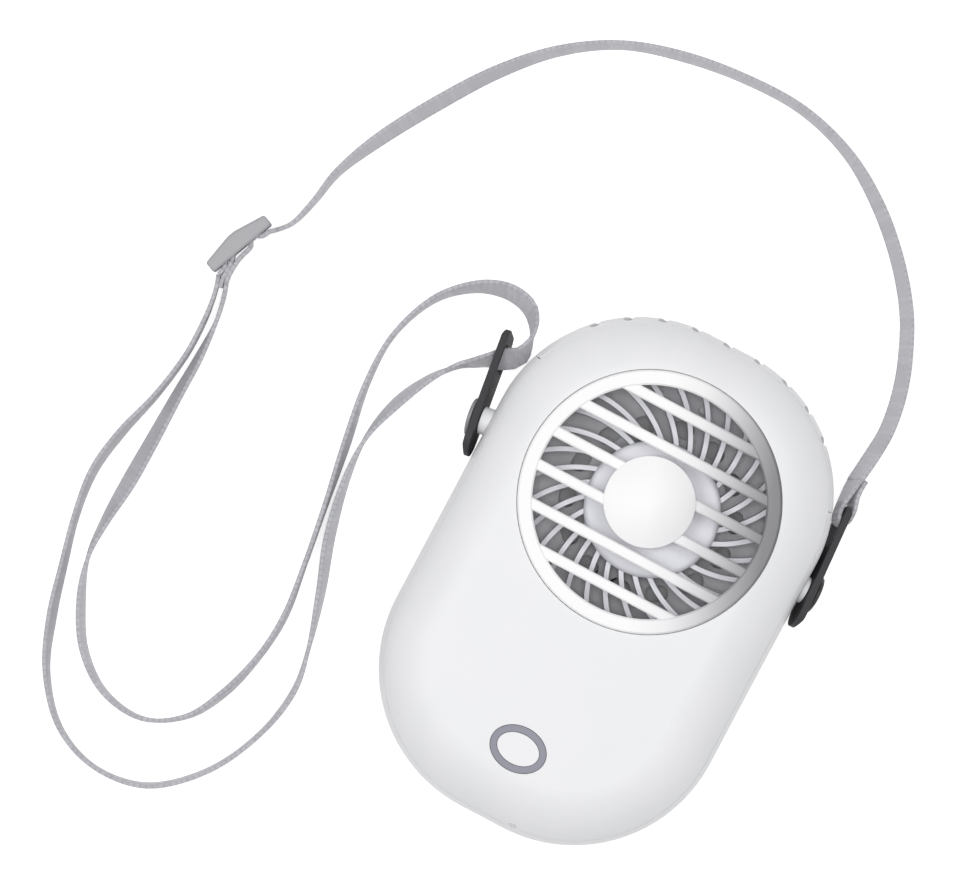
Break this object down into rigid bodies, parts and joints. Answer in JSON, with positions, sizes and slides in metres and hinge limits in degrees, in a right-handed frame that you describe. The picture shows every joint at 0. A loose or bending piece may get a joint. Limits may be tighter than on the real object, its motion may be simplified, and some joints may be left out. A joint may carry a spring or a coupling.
{
  "type": "neck fan",
  "caption": "Flat rounded fan that hangs on the chest: front grille over a blower wheel, slotted top edge, oval push button, and a thin flat neck strap on swinging side links.",
  "frame": {"origin": "middle of the casing's flat back", "axes": "+X to the fan's left as it is worn, the right of the picture's fan; +Y from the button to the vents; +Z out of the grille"},
  "size_m": [0.1512, 0.1982, 0.0302],
  "materials": {
    "casing_white": "moulded ABS, satin white",
    "grille_white": "moulded ABS, satin white",
    "duct_grey": "moulded ABS, mid grey",
    "impeller_grey": "moulded ABS, light grey",
    "motor_steel": "drawn and turned steel",
    "magnet_iron": "dark laminated or bonded iron",
    "coil_copper": "lacquered copper wire",
    "bearing_bronze": "sintered bronze",
    "screw_steel": "plated steel",
    "lead_red": "PVC insulation",
    "button_white": "polished white",
    "ring_grey": "grey, half gloss",
    "board_black": "black moulding",
    "board_green": "glass-fibre board under solder mask",
    "light_clear": "milky light pipe",
    "battery_foil": "laminated foil pouch",
    "pad_foam": "closed-cell foam",
    "pin_grey": "grey moulding",
    "pin_black": "black moulding",
    "link_charcoal": "charcoal moulding, half gloss",
    "strap_grey": "woven polyester tape",
    "slider_grey": "grey moulding, matt"
  },
  "bodies": {
    "root": {"rear_shell": "casing_white", "front_shell": "casing_white", "vent_strip": "casing_white", "front_grille": "grille_white", "grille_cap": "grille_white", "air_duct": "duct_grey", "stator_core": "magnet_iron", "stator_coils": "coil_copper", "motor_base": "duct_grey", "shaft_bearing": "bearing_bronze", "motor_screws": "screw_steel", "motor_leads": "lead_red", "button_ring": "ring_grey", "switch_body": "screw_steel", "circuit_board": "board_green", "board_parts": "board_black", "board_screws": "screw_steel", "ring_lights": "light_clear", "charge_light": "light_clear", "usb_shell": "screw_steel", "usb_tongue": "board_black", "battery": "battery_foil", "battery_pad": "pad_foam", "battery_leads": "lead_red", "case_screws": "screw_steel", "left_pivot": "pin_grey", "right_pivot": "pin_black", "strap_arc": "strap_grey", "strap_outer": "strap_grey", "strap_inner": "strap_grey", "slider_strap": "strap_grey", "slider": "slider_grey"},
    "impeller": {"impeller": "impeller_grey", "rotor_cup": "motor_steel", "rotor_magnet": "magnet_iron", "motor_shaft": "motor_steel", "shaft_clip": "board_black"},
    "button": {"button": "button_white", "switch_plunger": "board_black"},
    "left_link": {"left_link": "link_charcoal"},
    "right_link": {"right_link": "link_charcoal", "strap_loop": "strap_grey"}
  },
  "joints": [
    {"name": "impeller_spin", "type": "hinge", "parent": "root", "child": "impeller", "pos_m": [0.0014, 0.0181, 0.016], "axis": [0, 0, 1], "continuous": true},
    {"name": "button_press", "type": "slide", "parent": "root", "child": "button", "axis": [0, 0, -1], "range_m": [0, 0.0005], "stiffness_N_per_m": 800},
    {"name": "left_link_swing", "type": "hinge", "parent": "root", "child": "left_link", "pos_m": [-0.038, 0.0182, 0.014], "axis": [0.9698, 0.171, 0.1736], "range_deg": [-78, 102], "deforming": ["strap_outer", "strap_inner"]},
    {"name": "right_link_swing", "type": "hinge", "parent": "root", "child": "right_link", "pos_m": [0.038, 0.0182, 0.014], "axis": [0.9847, 0.0172, -0.1736], "range_deg": [-78, 102], "deforming": ["strap_arc"]}
  ]
}
